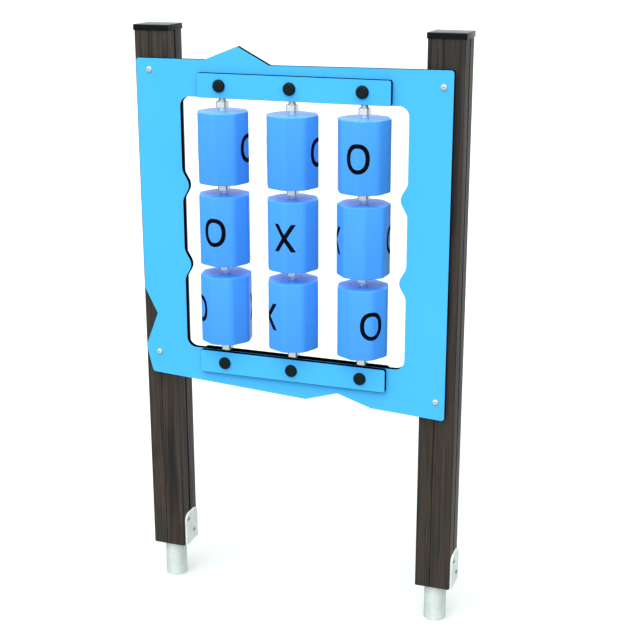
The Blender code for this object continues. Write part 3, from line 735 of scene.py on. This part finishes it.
def collar_rings(half, bore, low, high, start):
    """Rings of a collar: up its hub, round the square part and on to the hub's upper end."""
    hub = bore + COLLAR_HUB_WALL
    end = start + COLLAR_HEIGHT
    outline = collar_outline(half, COLLAR_CUT)
    rings = [round_ring(outline, bore, low), round_ring(outline, hub, low), round_ring(outline, hub, start)]
    for inset, level in (
        (COLLAR_EDGE, start), (0.0, start + COLLAR_EDGE), (0.0, end - COLLAR_EDGE), (COLLAR_EDGE, end),
    ):
        rings.append(square_ring(outline, half - inset, COLLAR_CUT, level))
    rings += [round_ring(outline, hub, end), round_ring(outline, hub, high), round_ring(outline, bore, high)]
    return rings


def build_nut(level, column):
    """Square collar with cut corners and softened ends, on its round hub."""
    node = "nut_%s_%s" % (level, column)
    low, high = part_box(node)
    shaft_low, shaft_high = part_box("shaft_" + column)
    bore = (shaft_high.x - shaft_low.x) / 2.0 + COLLAR_GAP
    half = (high.y - low.y) / 2.0
    shape = loft(collar_rings(half, bore, low.z, high.z, low.z + COLLAR_STARTS[level]), closed=True)
    centre = (low + high) / 2.0
    place = (centre.x, centre.y, 0.0)
    nut = finish_piece("collar_nut_%s_%s" % (level, column), shape, NUT_STEEL, place)
    stand_for(nut, node, STAND)


def button_head(head, fixing, whole):
    """Domed head with a hexagon socket and a plain shank, standing along +Z."""
    height, socket, socket_depth, shank = fixing
    outline = round_outline()
    rings = [round_ring(outline, shank, height - whole), round_ring(outline, shank, 0.0)]
    rings.append(round_ring(outline, head * HEAD_FOOT, 0.0))
    rings.append(round_ring(outline, head, height * HEAD_SIDE_LOW))
    rings.append(round_ring(outline, head, height * HEAD_SIDE_HIGH))
    for radius, level in fillet((0.0, 0.0), 1.0, 18.0, 66.0, 6):
        rise = height * (DOME_LOW + DOME_RISE * level)
        rings.append(round_ring(outline, head * radius * DOME_WIDTH, rise))
    deep = height - socket_depth
    rings.append(round_ring(outline, socket * SOCKET_MOUTH, height))
    rings += [hexagon_ring(outline, socket, height - SOCKET_EDGE), hexagon_ring(outline, socket, deep)]
    rings.append(round_ring(outline, socket * SOCKET_POINT, deep - SOCKET_CONE))
    return loft(rings, ends=True)


def build_corner_bolt(level, side):
    node = "corner_bolt_%s_%s" % (level, side)
    low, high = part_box(node)
    centre = (low + high) / 2.0
    shape = button_head((high.x - low.x) / 2.0, CORNER_BOLT, high.y - low.y)
    place = (centre.x, low.y + CORNER_BOLT[0], centre.z)
    turn = (math.pi / 2.0, 0.0, 0.0)
    bolt = finish_piece("button_bolt_%s_%s" % (level, side), shape, CORNER_STEEL, place, turn)
    stand_for(bolt, node, STAND)


def build_plate_screw(side, level):
    node = "plate_screw_%s_%s" % (side, level)
    low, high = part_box(node)
    centre = (low + high) / 2.0
    shape = button_head((high.z - low.z) / 2.0, PLATE_SCREW, high.x - low.x)
    place = (high.x - PLATE_SCREW[0], centre.y, centre.z)
    turn = (0.0, math.pi / 2.0, 0.0)
    # The screw's dark steel paints the shade of the gap round its head.
    screw = finish_piece("socket_screw_%s_%s" % (side, level), shape, SCREW_STEEL_PAINTED_SHADE, place, turn)
    stand_for(screw, node, STAND)


def cover_profile(outer, height):
    """Half-section of a bolt cover: a short upright side under a flattened dome, hollow inside."""
    profile = [(outer - COVER_EDGE, 0.0), (outer, COVER_EDGE), (outer, height * COVER_SIDE)]
    for x, z in fillet((0.0, 0.0), 1.0, 0.0, 90.0, 8)[1:]:
        radius = outer * (COVER_FLAT + (1.0 - COVER_FLAT) * x)
        profile.append((radius, height * (COVER_SIDE + (1.0 - COVER_SIDE) * z)))
    inner = outer - COVER_WALL
    roof = height - COVER_WALL
    profile += [(0.0, height), (0.0, roof), (outer * COVER_INNER_FLAT, roof)]
    profile += [(inner, height * COVER_INNER_SIDE), (inner, 0.0)]
    return profile


def build_cover(level, column):
    """Soft domed cover over a bar bolt."""
    node = "bolt_cover_%s_%s" % (level, column)
    low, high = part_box(node)
    centre = (low + high) / 2.0
    shape = turned(cover_profile((high.x - low.x) / 2.0, high.y - low.y), 64)
    place = (centre.x, high.y, centre.z)
    turn = (math.pi / 2.0, 0.0, 0.0)
    cover = finish_piece("dome_cover_%s_%s" % (level, column), shape, COVER_BLACK, place, turn)
    stand_for(cover, node, STAND)


# Camera, light and floor

def build_camera():
    data = bpy.data.cameras.new("camera")
    data.lens = CAMERA_LENS
    data.sensor_width = SENSOR_WIDTH
    camera = bpy.data.objects.new("camera", data)
    SCENE.collection.objects.link(camera)
    camera.location = CAMERA_PLACE
    camera.rotation_euler = (math.radians(CAMERA_TILT), 0.0, math.radians(CAMERA_TURN))
    SCENE.camera = camera


def build_floor():
    shape = bmesh.new()
    bmesh.ops.create_grid(shape, x_segments=1, y_segments=1, size=FLOOR_SIZE / 2.0)
    floor = finish_piece("floor", shape, floor_material(), (0.0, 0.0, CAD_LOW.z - FLOOR_GAP))
    floor.visible_glossy = False
    floor.visible_diffuse = False


def build_world():
    """Soft studio surround: bright overhead, and below eye level dark at both sides."""
    world = bpy.data.worlds.new("studio")
    SCENE.world = world
    world.use_nodes = True
    tree = world.node_tree
    coordinates = add_node(tree, "ShaderNodeTexCoord")
    parts = add_node(tree, "ShaderNodeSeparateXYZ")
    tree.links.new(coordinates.outputs["Generated"], parts.inputs["Vector"])
    sky = spread(tree, parts.outputs["Z"], 0.0, 0.9, SKY_EDGE, SKY_TOP)
    sideways = add_node(tree, "ShaderNodeMath", operation="ABSOLUTE")
    tree.links.new(parts.outputs["X"], sideways.inputs[0])
    ground = spread(tree, sideways.outputs[0], *SIDE_FADE, GROUND_MIDDLE, GROUND_SIDES)
    side = spread(tree, parts.outputs["Z"], -0.10, -0.02, 0.0, 1.0)
    light = mix_colour(tree, side, ground, sky)
    tinted = mix_colour(tree, 1.0, light, STUDIO_TINT, "MULTIPLY")
    tree.links.new(tinted, tree.nodes["Background"].inputs["Color"])


def build_sun():
    data = bpy.data.lights.new("key", "SUN")
    data.energy = SUN_STRENGTH
    data.angle = math.radians(SUN_WIDTH)
    light = bpy.data.objects.new("key", data)
    SCENE.collection.objects.link(light)
    light.rotation_euler = (math.radians(SUN_TILT), 0.0, math.radians(SUN_TURN))


def build_side(side):
    build_post(side)
    build_cap(side)
    build_foot_tube(side)
    dress("foot_plate_" + side, PLATE_STEEL)
    for level in LEVELS:
        build_corner_bolt(level, side)
        build_plate_screw(side, level)


def build_column(column):
    dress("shaft_" + column, BOLT_STEEL)
    for level in COLLAR_STARTS:
        build_nut(level, column)
    for level in LEVELS:
        dress("bar_bolt_%s_%s" % (level, column), BOLT_STEEL)
        build_cover(level, column)
    for row in ROWS:
        build_roller(row, column)


def build_all():
    for node in ("panel", "bar_front_upper", "bar_front_lower", "bar_back_upper", "bar_back_lower"):
        dress(node, SHEET)
    for side in SIDES:
        build_side(side)
    for column in COLUMNS:
        build_column(column)


SCENE.view_settings.view_transform = "Standard"
build_all()
build_camera()
build_floor()
build_world()
build_sun()
